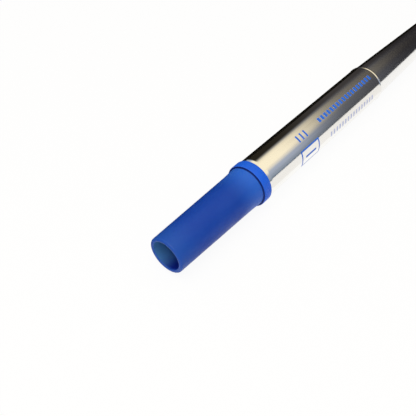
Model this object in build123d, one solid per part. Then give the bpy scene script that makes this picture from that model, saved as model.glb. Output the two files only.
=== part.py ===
from build123d import *
import os

# A metal-bodied rollerball refill, in millimetres. It lies along X. The origin is on its axis, at the open
# mouth of the end plug, and +X points to the writing ball.

# Body tube and nose, both drawn from thin sheet
tube_radius = 3.10
tube_length = 30.2
sheet = 0.22              # wall of the tube and of the nose
lip_round = 0.18          # rounding of the tube's two outer lips
neck_length = 3.0         # of the nose, inside the tube
shoulder_step = 0.12      # how far the nose stands in from the tube at the shoulder
nose_length = 51.2
nose_front_radius = 1.45

# End plug, moulded in one piece: spigot, collar and stem
spigot_length = 16.1
spigot_step = 0.14        # how far the spigot's root stands in from the tube
spigot_draft = 0.30       # how much narrower the mouth is than the root
plug_wall = 0.55          # at the mouth
mouth_round = 0.22        # rounding of the mouth's rim, inside and out
bore_depth = 14.5
collar_length = 1.5
collar_proud = 0.16       # how far the collar stands out from the tube
stem_length = 5.0
stem_wall = 0.75
web = 2.0                 # between the spigot's bore and the stem's hollow
mould_round = 0.12        # rounding of the plug's other edges

# Ink reservoir: a fibre bundle in a film, with a breather tube and a wick
reservoir_gap = 0.6       # from the stem to the reservoir, and from the reservoir to the point holder
reservoir_clearance = 0.06
film = 0.08
fibre_slack = 0.02        # between the bundle and what it touches
breather_radius = 0.26
breather_wall = 0.10
breather_offset = 1.08    # from the axis
breather_reach = 0.4      # how far the breather stands out of the bundle at each end
wick_radius = 0.55
wick_grip = 10.0          # how far the wick reaches into the bundle
wick_taper = 1.2          # length of the wick's pointed end

# Point holder
holder_length = 15.0      # inside the nose
flange_length = 1.4
flange_proud = 0.15       # how far the flange stands out from the nose's front edge
vent_width = 0.40
vent_depth = 0.20

# Point and ball
shank_length = 4.2        # inside the holder
shank_radius = 0.80
point_radius = 1.15
point_length = 6.6        # the straight part in front of the holder
cone_length = 3.35
ball_radius = 0.25
ball_clearance = 0.01
ball_seated = 0.10        # how far the socket's rim reaches past the ball's centre
rim_wall = 0.06
feed_radius = 0.14        # channel from the wick to the ball
feed_length = 2.6
edge_break = 0.05         # rounding of the point's edges

# Places along the axis
tube_start = spigot_length + collar_length
tube_end = tube_start + tube_length
nose_end = tube_end + nose_length
flange_end = nose_end + flange_length
cone_start = flange_end + point_length
rim_x = cone_start + cone_length
ball_x = rim_x - ball_seated

# Radii that pieces share
tube_bore = tube_radius - sheet
neck_bore = tube_bore - sheet
nose_rear_radius = tube_radius - shoulder_step
socket_radius = ball_radius + ball_clearance
wick_bore = wick_radius + fibre_slack
tiny = 1e-4


def turned(*outline):
    """The solid that a closed outline of (x, radius) points makes, turned round the X axis."""
    return revolve(make_face(Polyline(*outline, close=True)), Axis.X)


def ring_edges(part, *places):
    """A turned part's round edges at the given (x, radius) places."""
    rings = part.edges().filter_by(GeomType.CIRCLE)
    return [
        ring for ring in rings for x, radius in places
        if abs(ring.arc_center.X - x) < tiny and abs(ring.radius - radius) < tiny
    ]


def rod(start, end, radius, offset=0):
    """A round bar along X, raised from the axis by the offset."""
    return Pos(start, 0, offset) * Rot(0, 90, 0) * Cylinder(
        radius, end - start, align=(Align.CENTER, Align.CENTER, Align.MIN)
    )


def nose_inside(x):
    """The radius of the nose's tapered inside at x."""
    share = (x - tube_end) / nose_length
    return nose_rear_radius - sheet - share * (nose_rear_radius - nose_front_radius)


def end_plug():
    """The hollow plastic plug: spigot, collar, and the stem that is pressed into the tube."""
    root = tube_radius - spigot_step
    mouth = root - spigot_draft
    bore = mouth - plug_wall
    collar = tube_radius + collar_proud
    stem_end = tube_start + stem_length
    plug = turned(
        (0, bore), (0, mouth), (spigot_length, root), (spigot_length, collar), (tube_start, collar),
        (tube_start, tube_bore), (stem_end, tube_bore), (stem_end, tube_bore - stem_wall),
        (bore_depth + web, tube_bore - stem_wall), (bore_depth + web, 0), (bore_depth, 0), (bore_depth, bore),
    )
    plug = fillet(ring_edges(plug, (0, bore), (0, mouth)), mouth_round)
    return fillet(ring_edges(
        plug, (spigot_length, collar), (tube_start, collar), (stem_end, tube_bore)
    ), mould_round)


def body_tube():
    """The drawn metal tube, with both outer lips rounded."""
    tube = rod(tube_start, tube_end, tube_radius) - rod(tube_start, tube_end, tube_bore)
    return fillet(ring_edges(tube, (tube_start, tube_radius), (tube_end, tube_radius)), lip_round)


def straight_end():
    """The place along the axis where the nose's straight bore meets its taper."""
    taper = (nose_rear_radius - nose_front_radius) / nose_length
    return tube_end + (nose_rear_radius - sheet - neck_bore) / taper


def nose_cone():
    """The drawn metal nose: a neck inside the tube, a small shoulder and a long slow taper."""
    neck_start = tube_end - neck_length
    return turned(
        (neck_start, neck_bore), (neck_start, tube_bore), (tube_end, tube_bore),
        (tube_end, nose_rear_radius), (nose_end, nose_front_radius), (nose_end, nose_inside(nose_end)),
        (straight_end(), neck_bore),
    )


def reservoir_span():
    """Where the reservoir starts, where it begins to taper with the nose, and where it ends."""
    start = tube_start + stem_length + reservoir_gap
    end = nose_end - holder_length - reservoir_gap
    return start, straight_end(), end


def reservoir_body(inset):
    """The reservoir's outer shape, smaller all round by the inset."""
    start, bend, end = reservoir_span()
    wide = neck_bore - reservoir_clearance - inset
    narrow = nose_inside(end) - reservoir_clearance - inset
    return turned((start, 0), (start, wide), (bend, wide), (end, narrow), (end, 0))


def reservoir_film():
    """The film that wraps the bundle, open at both ends."""
    return reservoir_body(0) - reservoir_body(film)


def reservoir_fibre():
    """The fibre bundle, squeezed narrower in the nose, with a channel for the breather and one for the wick."""
    start, _, end = reservoir_span()
    breather = rod(start, end, breather_radius + fibre_slack, breather_offset)
    return reservoir_body(film + fibre_slack) - breather - rod(end - wick_grip, end, wick_bore)


def breather_tube():
    """The fine tube that lets air through to the bundle's rear."""
    start, _, end = reservoir_span()
    start, end = start - breather_reach, end + breather_reach
    outside = rod(start, end, breather_radius, breather_offset)
    return outside - rod(start, end, breather_radius - breather_wall, breather_offset)


def feed_rod():
    """The wick, from inside the bundle to the narrow end of the point's feed, with a pointed tip."""
    start = reservoir_span()[2] - wick_grip
    end = ball_x - feed_length - fibre_slack
    tip = feed_radius
    return turned((start, 0), (start, wick_radius), (end - wick_taper, wick_radius), (end, tip), (end, 0))


def point_holder():
    """The plastic front piece: a tapered body in the nose, a flange, and a slot that lets air in."""
    start = nose_end - holder_length
    flange_radius = nose_front_radius + flange_proud
    body = turned(
        (start, wick_bore), (start, nose_inside(start)), (nose_end, nose_inside(nose_end)),
        (nose_end, flange_radius), (flange_end, flange_radius), (flange_end, shank_radius),
        (flange_end - shank_length, shank_radius), (flange_end - shank_length, wick_bore),
    )
    body = fillet(ring_edges(body, (flange_end, flange_radius)), mould_round)
    slot_floor = nose_inside(nose_end) - vent_depth
    slot = Pos(start, 0, slot_floor) * Box(
        holder_length + flange_length, vent_width, tube_radius, align=(Align.MIN, Align.CENTER, Align.MIN)
    )
    return body - slot


def point_housing():
    """The metal point: shank, straight part, cone, wick bore, feed channel and ball socket."""
    start = flange_end - shank_length
    feed_start = ball_x - feed_length
    rim = (socket_radius**2 - ball_seated**2) ** 0.5 + rim_wall
    point = turned(
        (start, wick_bore), (start, shank_radius), (flange_end, shank_radius), (flange_end, point_radius),
        (cone_start, point_radius), (rim_x, rim), (rim_x, 0), (ball_x, 0), (ball_x, feed_radius),
        (feed_start, feed_radius), (feed_start - wick_taper, wick_bore),
    )
    point = fillet(ring_edges(point, (start, shank_radius), (flange_end, point_radius)), edge_break)
    return point - Pos(ball_x, 0, 0) * Sphere(socket_radius)


def writing_ball():
    """The hard ball. Its front stands out of the socket."""
    return Pos(ball_x, 0, 0) * Sphere(ball_radius)


pieces = [
    end_plug, body_tube, nose_cone, reservoir_fibre, reservoir_film,
    breather_tube, feed_rod, point_holder, point_housing, writing_ball,
]
os.makedirs("parts", exist_ok=True)
for piece in pieces:
    export_step(piece(), f"parts/{piece.__name__}.step")
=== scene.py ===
import math
import bpy
import bmesh
import numpy as np
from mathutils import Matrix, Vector


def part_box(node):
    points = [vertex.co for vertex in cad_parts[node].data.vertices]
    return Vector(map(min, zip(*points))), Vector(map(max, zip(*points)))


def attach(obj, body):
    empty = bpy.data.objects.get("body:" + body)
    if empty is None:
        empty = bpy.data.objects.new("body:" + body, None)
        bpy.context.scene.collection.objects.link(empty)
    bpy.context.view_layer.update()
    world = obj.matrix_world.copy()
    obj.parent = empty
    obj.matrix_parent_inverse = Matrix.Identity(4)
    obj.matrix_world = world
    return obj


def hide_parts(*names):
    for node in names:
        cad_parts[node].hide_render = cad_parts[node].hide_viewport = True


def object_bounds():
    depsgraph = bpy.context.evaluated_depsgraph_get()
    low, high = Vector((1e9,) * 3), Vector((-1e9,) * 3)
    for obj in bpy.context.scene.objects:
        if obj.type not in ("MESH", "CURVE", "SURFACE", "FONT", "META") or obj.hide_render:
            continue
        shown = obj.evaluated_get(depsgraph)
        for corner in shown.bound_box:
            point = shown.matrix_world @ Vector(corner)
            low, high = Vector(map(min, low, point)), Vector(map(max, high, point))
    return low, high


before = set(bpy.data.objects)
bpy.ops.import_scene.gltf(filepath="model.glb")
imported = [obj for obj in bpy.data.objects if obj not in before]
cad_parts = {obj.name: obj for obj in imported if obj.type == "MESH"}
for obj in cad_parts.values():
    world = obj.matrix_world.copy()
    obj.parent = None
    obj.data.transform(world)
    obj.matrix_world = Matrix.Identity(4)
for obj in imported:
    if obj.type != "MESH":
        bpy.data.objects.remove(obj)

cad_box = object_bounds()


# ---- End plug ----
# The hollow rear plug: a slightly tapered spigot, a collar that stops on the tube, and a stem inside it.
# Satin blue polypropylene that lets a little light through, moulded in one piece and pressed into the tube.

mm = 0.001
tube_start, tube_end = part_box("body_tube")[0][0] / mm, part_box("body_tube")[1][0] / mm
tube_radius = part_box("body_tube")[1][2] / mm
sheet = 0.22
collar_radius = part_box("end_plug")[1][2] / mm
stem_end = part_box("end_plug")[1][0] / mm
collar_length, root_step, draft, plug_wall, web, stem_wall = 1.5, 0.14, 0.30, 0.55, 2.0, 0.75
collar_start = tube_start - collar_length
root_radius = tube_radius - root_step
mouth_radius = root_radius - draft
plug_bore = mouth_radius - plug_wall
plug_depth = 14.5
stem_floor = plug_depth + web
stem_bore = tube_radius - sheet - stem_wall
flare_length, flare_start, flare_end = 1.9, -0.075, 0.02


def rounded(corners, steps=8):
    """A closed outline through (x, radius, rounding) corners. A rounded corner is an arc about the point
    that lies at rounding / sin(half the corner's angle) on its bisector, swept evenly from side to side."""
    outline = []
    for k, (x, radius, rounding) in enumerate(corners):
        corner = np.array([x, radius])
        if rounding == 0:
            outline.append(corner[None])
            continue
        back = np.array(corners[k - 1][:2]) - corner
        ahead = np.array(corners[(k + 1) % len(corners)][:2]) - corner
        back, ahead = back / np.linalg.norm(back), ahead / np.linalg.norm(ahead)
        half = math.acos(np.clip(back @ ahead, -1, 1)) / 2
        centre = corner + (back + ahead) / np.linalg.norm(back + ahead) * rounding / math.sin(half)
        first = corner + back * rounding / math.tan(half) - centre
        last = corner + ahead * rounding / math.tan(half) - centre
        sweep, share = math.pi - 2 * half, np.linspace(0, 1, steps + 1)[:, None]
        arc = (np.sin((1 - share) * sweep) * first + np.sin(share * sweep) * last) / math.sin(sweep)
        outline.append(centre + arc)
    return np.concatenate(outline)


def turned(name, outline, around=192, cut=None):
    """A closed outline of (x, radius) rows turned round the X axis. The point at row i and angle t lies at
    (x_i, -r sin t, r cos t), where r is the row's radius, or cut(x, r, t) if a cut is given."""
    turn = np.linspace(0, 2 * np.pi, around, endpoint=False)
    x, radius = np.broadcast_to(outline[:, :1], (len(outline), around)), outline[:, 1:] + 0 * turn
    if cut:
        radius = cut(x, radius, turn)
    points = np.stack([x, -radius * np.sin(turn), radius * np.cos(turn)], -1).reshape(-1, 3) * mm
    row, column = np.meshgrid(np.arange(len(outline)), np.arange(around), indexing="ij")
    rows, columns = [row, row, row + 1, row + 1], [column, column + 1, column + 1, column]
    faces = np.stack([r % len(outline) * around + c % around for r, c in zip(rows, columns)], -1)
    mesh = bpy.data.meshes.new(name)
    mesh.from_pydata(points, [], faces.reshape(-1, 4).tolist())
    spread = np.stack([np.stack(columns, -1) / around, x[np.stack(rows, -1) % len(outline), 0] / 100], -1)
    mesh.uv_layers.new(name="Turn").data.foreach_set("uv", spread.ravel())
    solid = bmesh.new()
    solid.from_mesh(mesh)
    bmesh.ops.remove_doubles(solid, verts=solid.verts, dist=1e-8)
    bmesh.ops.recalc_face_normals(solid, faces=solid.faces)
    solid.to_mesh(mesh)
    mesh.shade_smooth()
    piece = bpy.data.objects.new(name, mesh)
    bpy.context.collection.objects.link(piece)
    return piece


class Wire:
    """A socket of a material's nodes. Sums written on it become Math nodes."""

    def __init__(self, socket):
        self.socket = socket

    def add(self, kind, settings, sockets, out=0):
        """A new node of a kind: its settings are set first, then its sockets' values or links."""
        tree = self.socket.id_data
        node = tree.nodes.new(kind)
        for name, value in settings.items():
            setattr(node, name, value)
        for key, value in sockets.items():
            if isinstance(value, Wire):
                tree.links.new(value.socket, node.inputs[key])
            else:
                node.inputs[key].default_value = value
        return Wire(node.outputs[out])

    def sum(self, operation, other=0.0):
        """A Math node on this and another value or wire."""
        return self.add("ShaderNodeMath", {"operation": operation}, {0: self, 1: other})

    def __add__(self, other):
        return self.sum("ADD", other)

    def __sub__(self, other):
        return self.sum("SUBTRACT", other)

    def __rsub__(self, other):
        return self.add("ShaderNodeMath", {"operation": "SUBTRACT"}, {0: other, 1: self})

    def __mul__(self, other):
        return self.sum("MULTIPLY", other)

    def __truediv__(self, other):
        return self.sum("DIVIDE", other)

    def __lt__(self, other):
        return self.sum("LESS_THAN", other)

    def __abs__(self):
        return self.sum("ABSOLUTE")

    __radd__, __rmul__ = __add__, __mul__

    def ease(self, low, high, from_value=0.0, to_value=1.0):
        """A smooth rise from one value to another as this goes from low to high."""
        ends = {"Value": self, "From Min": low, "From Max": high, "To Min": from_value, "To Max": to_value}
        return self.add("ShaderNodeMapRange", {"interpolation_type": "SMOOTHSTEP"}, ends)

    def blend(self, first, second):
        """The colour between two colours, with this as the share of the second."""
        return self.add("ShaderNodeMix", {"data_type": "RGBA"}, {0: self, 6: first, 7: second}, 2)

    def grain(self, scale, stretch=(1, 1, 1), detail=3.0):
        """Noise on these coordinates, stretched by a factor along each axis."""
        place = self.add("ShaderNodeMapping", {}, {"Vector": self, "Scale": stretch})
        return self.add("ShaderNodeTexNoise", {}, {"Vector": place, "Scale": scale, "Detail": detail})

    def feed(self, shader, name):
        """Links this to a socket of the shader."""
        self.socket.id_data.links.new(self.socket, shader.inputs[name])


def finish(name, **constants):
    """A new material: its name, its shader with constants set on it, and its object coordinates."""
    material = bpy.data.materials.new(name)
    material.use_nodes = True
    shader = material.node_tree.nodes["Principled BSDF"]
    for socket, value in constants.items():
        shader.inputs[socket.replace("_", " ").title().replace("Ior", "IOR")].default_value = value
    place = Wire(material.node_tree.nodes.new("ShaderNodeTexCoord").outputs["Object"])
    return material, shader, place


def split(place):
    """The x, y and z of a coordinate, each in millimetres."""
    node = place.add("ShaderNodeSeparateXYZ", {}, {0: place}).socket.node
    return [Wire(out) * 1000.0 for out in node.outputs]


def roughen(place, shader, height, strength, distance):
    """Feeds the shader's normal from a height on the surface."""
    bump = place.add("ShaderNodeBump", {}, {"Strength": strength, "Distance": distance, "Height": height})
    bump.feed(shader, "Normal")


def dress(piece, material, body, slot, *nodes):
    """Gives a piece its material and its body, and hides the model's pieces that it stands for. The slot is
    not used.
    """
    piece.data.materials.clear()
    piece.data.materials.append(material)
    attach(piece, body)
    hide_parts(*nodes)


plug_outline = rounded([
    (0, plug_bore, 0.20), (0, mouth_radius, 0.30),
    (collar_start - flare_length, root_radius + flare_start, 4.0),
    (collar_start, root_radius + flare_end, 0.05),
    (collar_start, collar_radius, 0.14), (tube_start, collar_radius, 0.12),
    (tube_start, tube_radius - sheet, 0.03), (stem_end, tube_radius - sheet, 0.12),
    (stem_end, stem_bore, 0.10), (stem_floor, stem_bore, 0.3), (stem_floor, 0, 0),
    (plug_depth, 0, 0), (plug_depth, plug_bore, 0.4),
])
plug = turned("end_plug_moulding", plug_outline)
plug_blue, shader, place = finish(
    "plug_blue", subsurface_weight=0.15, subsurface_scale=0.0012, specular_ior_level=0.22
)
shader.inputs["Subsurface Radius"].default_value = (0.25, 0.6, 1.0)
x, y, z = split(place)
across = (y * y + z * z).sum("POWER", 0.5)
deep_blue, root_painted_sheen_blue, mouth_painted_light_blue = (0.004, 0.05, 0.37, 1), (0.022, 0.13, 0.62, 1), (0.012, 0.082, 0.42, 1)
collar_painted_light_blue, crease_shade_blue, haze_blue = (0.012, 0.125, 0.78, 1), (0.0, 0.01, 0.13, 1), (0.025, 0.09, 0.45, 1)
bore_painted_shade, bore_painted_light = (0.002, 0.012, 0.22, 1), (0.070, 0.230, 0.52, 1)
inside = across.ease(plug_bore + 0.16, plug_bore + 0.04) * x.ease(-0.05, 0.35)
collar = x.ease(collar_start - 0.1, collar_start + 0.15)
# Painted shade: a dark line in the crease where the spigot's root meets the collar.
painted_crease_shade = x.ease(collar_start - 0.22, collar_start - 0.02) * x.ease(collar_start + 0.05, collar_start - 0.01)
haze = place.grain(500, (0.35, 1, 1)).ease(0.35, 0.7)
# Painted sheen: the spigot's blue turns lighter towards the collar, standing in for light on its flared root.
skin = x.ease(11.0, collar_start).blend(deep_blue, root_painted_sheen_blue)
# Painted light: a lighter blue towards the mouth end of the spigot.
skin = x.ease(5.0, 0.0, 0.0, 0.8).blend(skin, mouth_painted_light_blue)
# Painted light: the collar is the same plastic, given a brighter blue where it catches more light.
skin = collar.blend(skin, collar_painted_light_blue)
skin = painted_crease_shade.blend(skin, crease_shade_blue)
skin = (haze * 0.15).blend(skin, haze_blue)
# Painted light and shade inside the bore: lighter on the +Y wall, darker towards -Y.
wall = y.ease(-0.9, 2.1).blend(bore_painted_shade, bore_painted_light)
inside.blend(skin, wall).feed(shader, "Base Color")
place.grain(900, (0.5, 1, 1)).ease(0.3, 0.7, 0.36, 0.50).feed(shader, "Roughness")
roughen(place, shader, place.grain(4200, (0.6, 1, 1)), 0.25, 0.00003)
dress(plug, plug_blue, "refill", "plug_plastic", "end_plug")


# ---- Body tube ----
# A thin drawn tube with both lips turned over, of bright plated metal. Its marks are printed in blue ink: a
# row of bars, a short row of thin ticks, a frame with a line in it, and a faint fine row. None of them is a
# letter or a figure.

lip, lip_drop, lip_curve = 0.60, 0.15, 1.20
bead, bead_length = 0.05, 0.42
tube = turned("body_tube_drawn", rounded([
    (tube_start, tube_radius - sheet, 0.03), (tube_start, tube_radius - lip_drop, 0.08),
    (tube_start + lip, tube_radius, lip_curve), (tube_end - bead_length, tube_radius, 0.12),
    (tube_end - bead_length * 0.6, tube_radius + bead, 0.12),
    (tube_end, tube_radius + bead, 0.16), (tube_end, tube_radius - sheet, 0.03),
]), around=256)
tube_plate, shader, place = finish("tube_plate", metallic=1.0)
spread = place.add("ShaderNodeUVMap", {"uv_map": "Turn"}, {})
parts = spread.add("ShaderNodeSeparateXYZ", {}, {0: spread}).socket.node.outputs
around, along = Wire(parts[0]) * 360.0, Wire(parts[1]) * 100.0
facing = 32.0    # degrees round from the top, the middle of the printing
degree = math.pi * tube_radius / 180    # the length of one degree round the tube


def bar(value, middle, size):
    """1 where a value lies within a size about the middle."""
    return abs(value - middle) < size / 2


def ticks(start, end, pitch, share, angle, height):
    """A row of upright ticks from start to end, at an angle from the facing line: 1 where the fraction of
    (along - start) / pitch is below the share, within the row's length and height."""
    pulse = ((along - start) / pitch).sum("FRACT") < share
    return pulse * bar(along, (start + end) / 2, end - start) * bar(around, facing + angle, height / degree)


frame_middle, frame_length = 27.35, 4.5
frame_angle, frame_height, frame_line = 49.5, 2.7, 0.26
outer = bar(along, frame_middle, frame_length) * bar(around, facing + frame_angle, frame_height / degree)
inner_length, inner_height = frame_length - 2 * frame_line, frame_height - 2 * frame_line
inner = bar(along, frame_middle, inner_length) * bar(around, facing + frame_angle, inner_height / degree)
line_length, line_height = 2.6, 0.35
width_line = bar(along, frame_middle, line_length) * bar(around, facing + frame_angle, line_height / degree)
bars = ticks(31.4, 46.2, 0.84, 0.62, -9.0, 0.78)
thin = ticks(25.9, 28.6, 0.9, 0.36, -6.5, 1.15)
faint = ticks(32.6, 45.3, 0.8, 0.50, 49.0, 0.85)
print_mask = bars + thin + outer * (1 - inner) + width_line + faint * 0.45
drawn = place.grain(900, (0.015, 1, 1), 4.0)
worn = place.grain(110, (0.3, 1, 1)).ease(0.45, 0.75)
bright_plate, dull_plate, worn_plate = (0.98, 0.97, 0.94, 1), (0.88, 0.86, 0.82, 1), (0.66, 0.61, 0.54, 1)
edge_brown, ink_blue = (0.06, 0.045, 0.03, 1), (0.020, 0.145, 0.70, 1)
patchy = place.grain(700, detail=1.0).ease(0.38, 0.55)
edge = split(place)[0].ease(tube_start + 0.16, tube_start + 0.05) * patchy
metal = drawn.ease(0.42, 0.62).blend(bright_plate, dull_plate)
metal = (worn * 0.2).blend(metal, worn_plate)
metal = edge.blend(metal, edge_brown)
print_mask.blend(metal, ink_blue).feed(shader, "Base Color")
(1 - print_mask).feed(shader, "Metallic")
(drawn.ease(0.3, 0.7, 0.05, 0.11) + worn * 0.03 + print_mask * 0.25).feed(shader, "Roughness")
waves = place.grain(240, (0.22, 1, 1), 1.5)
roughen(place, shader, drawn * 0.3 + print_mask * 0.2 + waves * 9.0, 0.16, 0.00003)
dress(tube, tube_plate, "refill", "tube_metal", "body_tube")


# ---- Nose ----
# The tube's long nose: the same bright plated sheet drawn to a slow taper, with a neck pressed into the tube.

nose_start, nose_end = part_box("nose_cone")[0][0] / mm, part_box("nose_cone")[1][0] / mm
shoulder_step, nose_tip_radius = 0.12, 1.45
nose_radius = tube_radius - shoulder_step
taper = (nose_radius - nose_tip_radius) / (nose_end - tube_end)
neck_bore = tube_radius - 2 * sheet
taper_start = tube_end + (nose_radius - sheet - neck_bore) / taper
nose = turned("nose_drawn", rounded([
    (nose_start, neck_bore, 0.03), (nose_start, tube_radius - sheet, 0.05),
    (tube_end, tube_radius - sheet, 0), (tube_end, nose_radius, 0.05),
    (nose_end, nose_tip_radius, 0.08), (nose_end, nose_tip_radius - sheet, 0.03),
    (taper_start, neck_bore, 0),
]), around=256)
nose_plate, shader, place = finish("nose_plate", metallic=1.0)
drawn = place.grain(320, (0.015, 1, 1), 4.0)
worn = place.grain(110, (0.25, 1, 1)).ease(0.45, 0.75)
nose_bright, nose_worn = (0.94, 0.93, 0.91, 1), (0.78, 0.76, 0.73, 1)
(worn * 0.25).blend(nose_bright, nose_worn).feed(shader, "Base Color")
(drawn.ease(0.3, 0.7, 0.06, 0.13) + worn * 0.03).feed(shader, "Roughness")
roughen(place, shader, drawn, 0.07, 0.00002)
dress(nose, nose_plate, "refill", "nose_metal", "nose_cone")


# ---- Point holder ----
# The black plastic piece that closes the nose and grips the point. Its flange meets the nose's edge, and a
# slot along its top lets air in. It is moulded, and pressed into the nose.

holder_start, flange_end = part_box("point_holder")[0][0] / mm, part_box("point_holder")[1][0] / mm
flange_proud, shank_length = 0.15, 4.2
flange_radius, shank_radius, shank_start = nose_tip_radius + flange_proud, 0.80, flange_end - shank_length
body_start = nose_radius - sheet - (holder_start - tube_end) * taper
body_end = nose_tip_radius - sheet
slot_depth, slot_width, slot_step = 0.20, 0.40, 0.04
slot_floor = body_end - slot_depth
wick_bore = 0.57


def air_slot(x, radius, turn):
    """The radius, lowered to the slot's floor where the surface lies within half a slot's width of the
    top. The slot's side is a steep straight step, 0.04 mm wide."""
    side = np.abs((turn + np.pi) % (2 * np.pi) - np.pi) * radius
    wall = np.clip((slot_width / 2 + slot_step / 2 - side) / slot_step, 0, 1)
    return np.where(radius > slot_floor, radius - (radius - slot_floor) * wall, radius)


holder = turned("point_holder_moulding", rounded([
    (holder_start, wick_bore, 0), (holder_start, body_start, 0.1), (nose_end, body_end, 0.02),
    (nose_end, flange_radius, 0.06), (flange_end, flange_radius, 0.14), (flange_end, shank_radius, 0.04),
    (shank_start, shank_radius, 0.02), (shank_start, wick_bore, 0),
]), around=512, cut=air_slot)
holder_black, shader, place = finish("holder_black", specular_ior_level=0.45)
black, soft_black = (0.012, 0.012, 0.014, 1), (0.022, 0.022, 0.025, 1)
place.grain(900).ease(0.3, 0.7).blend(black, soft_black).feed(shader, "Base Color")
place.grain(1500).ease(0.3, 0.7, 0.32, 0.48).feed(shader, "Roughness")
roughen(place, shader, place.grain(5000), 0.2, 0.00002)
dress(holder, holder_black, "refill", "holder_plastic", "point_holder")


# ---- Point ----
# The writing point: a turned nickel silver body with a shank in the holder, a cone, and a socket whose rim
# is rolled in over the ball. Fine lines from the lathe run round it.

point_start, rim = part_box("point_housing")[0][0] / mm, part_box("point_housing")[1][0] / mm
cone_length, ball_clearance, rim_wall = 3.35, 0.01, 0.06
point_radius, cone_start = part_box("point_housing")[1][2] / mm, rim - cone_length
ball_low, ball_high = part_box("writing_ball")
ball_middle, ball_radius = (ball_low[0] + ball_high[0]) / 2 / mm, (ball_high[0] - ball_low[0]) / 2 / mm
socket = ball_radius + ball_clearance
rim_bore = (socket**2 - (rim - ball_middle) ** 2) ** 0.5
feed, feed_length, funnel_length = 0.14, 2.6, 1.2
seat = ball_middle - (socket**2 - feed**2) ** 0.5
lean = np.linspace(math.acos((rim - ball_middle) / socket), math.pi - math.asin(feed / socket), 16)[:, None]
cup = np.hstack([ball_middle + socket * np.cos(lean), socket * np.sin(lean)])
point = turned("point_turned", np.concatenate([rounded([
    (seat, feed, 0), (ball_middle - feed_length, feed, 0),
    (ball_middle - feed_length - funnel_length, wick_bore, 0), (point_start, wick_bore, 0),
    (point_start, shank_radius, 0.05), (flange_end, shank_radius, 0), (flange_end, point_radius, 0.05),
    (cone_start, point_radius, 0.6), (rim, rim_bore + rim_wall, 0.03), (rim, rim_bore, 0),
]), cup[1:-1]]), around=160)
nickel_silver, shader, place = finish("nickel_silver", metallic=1.0)
lathe = place.grain(1400, (6, 0.2, 0.2), 2.0)
nickel_dark, nickel_light = (0.64, 0.61, 0.55, 1), (0.72, 0.69, 0.63, 1)
lathe.ease(0.3, 0.7).blend(nickel_dark, nickel_light).feed(shader, "Base Color")
lathe.ease(0.3, 0.7, 0.16, 0.28).feed(shader, "Roughness")
roughen(place, shader, lathe, 0.12, 0.00002)
dress(point, nickel_silver, "refill", "point_metal", "point_housing")


# ---- Ball ----
# The ground carbide ball. It rolls in its socket and carries ink from the feed on to the paper. The socket's
# rim holds it in, and a thin uneven film of ink lies on it.

sweep = np.linspace(0, np.pi, 49)[:, None]
ball = turned("writing_ball_ground", np.hstack([
    ball_middle - ball_radius * np.cos(sweep), ball_radius * np.sin(sweep)
]), around=96)
carbide, shader, place = finish("carbide", metallic=1.0)
ink = place.grain(5200).ease(0.42, 0.62)
carbide_grey, wet_ink = (0.42, 0.43, 0.45, 1), (0.03, 0.07, 0.36, 1)
(ink * 0.8).blend(carbide_grey, wet_ink).feed(shader, "Base Color")
ink.ease(0.2, 0.8, 0.12, 0.34).feed(shader, "Roughness")
dress(ball, carbide, "ball", "ball_metal", "writing_ball")


# ---- Ink supply ----
# The fibre bundle, its clear film, the breather and the wick. The bundle and the wick are soaked in ink. All
# four are slid in before the plug is pressed home, and are sealed inside the tube and the nose.

supply_colours = {
    "reservoir_fibre": ((0.02, 0.04, 0.38, 1), (0.05, 0.09, 0.50, 1)),
    "reservoir_film": ((0.72, 0.76, 0.82, 1), (0.82, 0.85, 0.90, 1)),
    "breather_tube": ((0.78, 0.79, 0.80, 1), (0.88, 0.88, 0.88, 1)),
    "feed_rod": ((0.03, 0.05, 0.36, 1), (0.07, 0.11, 0.48, 1)),
}
for name, (dark, light) in supply_colours.items():
    strands, shader, place = finish(name + "_strands", roughness=0.7)
    fibre = place.grain(1800, (0.03, 1, 1))
    fibre.ease(0.3, 0.7).blend(dark, light).feed(shader, "Base Color")
    roughen(place, shader, fibre, 0.3, 0.00003)
    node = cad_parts[name]
    node.data.materials.clear()
    node.data.materials.append(strands)


# ---- Floor, light and camera ----
# A white sheet under the refill, a soft lamp above it, and a room that the metal reflects: warm and bright
# overhead, blue-grey lower down, and dark behind and past the point. The camera sees the room as plain white.

floor_reach = 3.0
floor_mesh = bpy.data.meshes.new("floor")
low = cad_box[0][2]
floor_mesh.from_pydata([
    (-floor_reach, -floor_reach, low), (floor_reach, -floor_reach, low),
    (floor_reach, floor_reach, low), (-floor_reach, floor_reach, low),
], [], [(0, 1, 2, 3)])
floor = bpy.data.objects.new("floor", floor_mesh)
bpy.context.collection.objects.link(floor)
sheet_white, shader, place = finish("sheet_white", roughness=0.9, specular_ior_level=0.1)
shader.inputs["Base Color"].default_value = (0.9, 0.9, 0.9, 1)
rays = place.add("ShaderNodeLightPath", {}, {}).socket.node.outputs
seen = Wire(rays["Is Camera Ray"]) + Wire(rays["Is Glossy Ray"])
glow = place.add("ShaderNodeEmission", {}, {"Color": (1, 1, 1, 1), "Strength": 1.0})
mixed = place.add("ShaderNodeMixShader", {}, {0: seen * 0.93, 1: Wire(shader.outputs[0]), 2: glow})
floor_tree = sheet_white.node_tree
floor_tree.links.new(mixed.socket, floor_tree.nodes["Material Output"].inputs["Surface"])
floor_mesh.materials.append(sheet_white)

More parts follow.
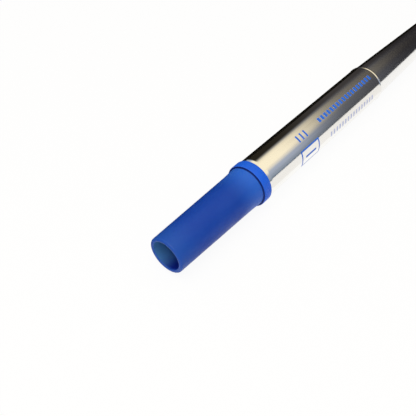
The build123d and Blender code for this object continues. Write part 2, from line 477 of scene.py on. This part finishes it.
# A dark card stands along the refill's far side, and only reflections see it. It keeps that side of the metal
# dark against the white sheet.
flag_mesh = bpy.data.meshes.new("flag")
flag_start, flag_end, flag_side, flag_top = -0.01, 0.14, 0.0046, 0.0030
flag_mesh.from_pydata([
    (flag_start, flag_side, low), (flag_end, flag_side, low),
    (flag_end, flag_side, flag_top), (flag_start, flag_side, flag_top),
], [], [(0, 1, 2, 3)])
flag = bpy.data.objects.new("flag", flag_mesh)
bpy.context.collection.objects.link(flag)
flag.visible_camera = flag.visible_diffuse = flag.visible_shadow = flag.visible_transmission = False
flag_black, shader, place = finish("flag_black", roughness=1.0, specular_ior_level=0.0)
place.grain(300).blend((0.010, 0.009, 0.007, 1), (0.018, 0.016, 0.013, 1)).feed(shader, "Base Color")
flag_mesh.materials.append(flag_black)

room = bpy.data.worlds.new("room")
bpy.context.scene.world = room
room.use_nodes = True
background = room.node_tree.nodes["Background"]
direction = Wire(room.node_tree.nodes.new("ShaderNodeTexCoord").outputs["Generated"])
axes = [Wire(out) for out in direction.add("ShaderNodeSeparateXYZ", {}, {0: direction}).socket.node.outputs]
horizon = axes[2].ease(0.02, 0.13)
front_low = axes[2].ease(0.10, 0.40)
front_high = axes[2].ease(0.45, 0.74)
behind = axes[1].ease(0.28, 0.60) * axes[0].ease(0.28, 0.52)
far = axes[0].ease(0.635, 0.738)
end = axes[0].ease(0.730, 0.825)
low_blue, wall_blue, wall_light = (0.10, 0.14, 0.21, 1), (0.30, 0.36, 0.46, 1), (0.38, 0.43, 0.54, 1)
warm_light, behind_dark = (0.98, 0.88, 0.66, 1), (0.020, 0.017, 0.012, 1)
far_dark, end_dark = (0.055, 0.050, 0.050, 1), (0.014, 0.012, 0.014, 1)
sky = front_low.blend(wall_blue, wall_light)
sky = horizon.blend(low_blue, sky)
sky = front_high.blend(sky, warm_light)
sky = behind.blend(sky, behind_dark)
sky = (far * 0.86).blend(sky, far_dark)
sky = (end * 0.9).blend(sky, end_dark)
rays = direction.add("ShaderNodeLightPath", {}, {}).socket.node.outputs
sky = Wire(rays["Is Camera Ray"]).blend(sky, (1, 1, 1, 1))
room.node_tree.links.new(sky.socket, background.inputs["Color"])
background.inputs["Strength"].default_value = 1.0

lamp_data = bpy.data.lights.new("soft_lamp", "AREA")
lamp_data.shape, lamp_data.size, lamp_data.size_y = "RECTANGLE", 0.16, 0.16
lamp_data.energy = 0.22
lamp = bpy.data.objects.new("soft_lamp", lamp_data)
bpy.context.collection.objects.link(lamp)
lamp.location = (-0.06, -0.02, 0.20)
lamp.rotation_euler = (Vector((0.02, 0, 0)) - lamp.location).to_track_quat("-Z", "Y").to_euler()

aim = Vector((0.00962, 0.00136, 0))
azimuth, elevation, distance = math.radians(-49.5), math.radians(46.43), 0.07805
camera_data = bpy.data.cameras.new("camera")
camera_data.lens, camera_data.sensor_width = 51.06, 36
camera_data.clip_start, camera_data.clip_end = 0.001, 20
camera = bpy.data.objects.new("camera", camera_data)
bpy.context.collection.objects.link(camera)
level = math.cos(elevation)
back = Vector((math.sin(azimuth) * level, -math.cos(azimuth) * level, math.sin(elevation)))
camera.location = aim + back * distance
camera.rotation_euler = (-back).to_track_quat("-Z", "Y").to_euler()
bpy.context.scene.camera = camera
bpy.context.scene.view_settings.view_transform = "Standard"
